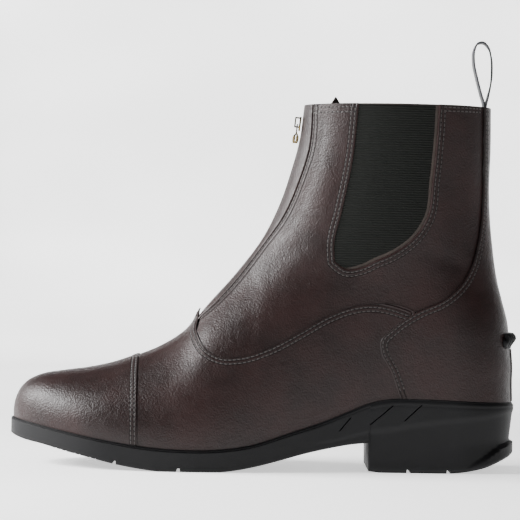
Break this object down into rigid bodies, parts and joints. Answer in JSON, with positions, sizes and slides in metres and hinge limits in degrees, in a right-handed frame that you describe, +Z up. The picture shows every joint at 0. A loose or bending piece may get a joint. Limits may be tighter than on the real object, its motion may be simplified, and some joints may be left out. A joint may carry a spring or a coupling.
{
  "type": "paddock boot",
  "caption": "Ankle-high riding boot with a front zip, elastic side gussets, toe cap, spur rest, pull loop and a heeled rubber sole.",
  "frame": {"origin": "on the floor, midway along the sole and midway across it", "axes": "-X towards the toe, +X towards the heel, -Y towards the lateral (outer) side, +Y towards the medial side, +Z up"},
  "size_m": [0.28, 0.0958, 0.2375],
  "materials": {
    "leather": "smooth, dark brown, lightly polished",
    "elastic": "fine ribs, near black",
    "rubber": "satin, black",
    "lining": "matte",
    "brass": "satin",
    "webbing": "woven, matte"
  },
  "bodies": {
    "boot": {"sole": "rubber", "upper": "leather", "insole": "lining", "toe_cap": "leather", "vamp": "leather", "counter": "leather", "gore_lateral": "elastic", "gore_medial": "elastic", "placket_lateral": "leather", "placket_medial": "leather", "zip_chain": "brass", "zip_slider": "brass", "zip_guard": "leather", "pull_loop": "webbing", "spur_rest": "rubber"},
    "pull": {"zip_pull": "brass"}
  },
  "joints": [
    {"name": "pull_hinge", "type": "hinge", "parent": "boot", "child": "pull", "pos_m": [0.01707, 0, 0.19025], "axis": [0, 1, 0], "range_deg": [0, 130]}
  ]
}
